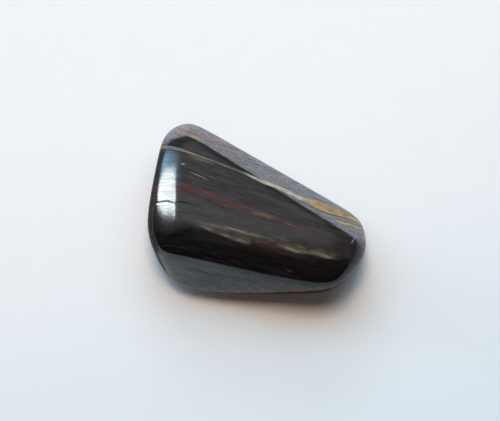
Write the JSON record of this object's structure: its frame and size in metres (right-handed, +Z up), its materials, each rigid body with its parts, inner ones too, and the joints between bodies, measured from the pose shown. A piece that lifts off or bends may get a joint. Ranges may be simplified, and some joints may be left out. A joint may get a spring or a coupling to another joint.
{
  "type": "banded ironstone",
  "caption": "Tumbled and polished piece of banded ironstone, a dark wedge-shaped pebble with flat ground sides and soft edges, lying on a small flat spot.",
  "frame": {"origin": "on the surface that the stone rests on, under the middle of the stone's bounding box", "axes": "+X along the stone from its blunt end to its narrow end, +Y across it from the sloping near side to the steep far side, +Z up"},
  "size_m": [0.0234, 0.0188, 0.0087],
  "materials": {
    "polished_ironstone": "tumbled to a high polish, near-black iron ore with thin red, golden and olive-grey layers"
  },
  "bodies": {
    "root": {"banded_ironstone": "polished_ironstone"}
  },
  "joints": []
}
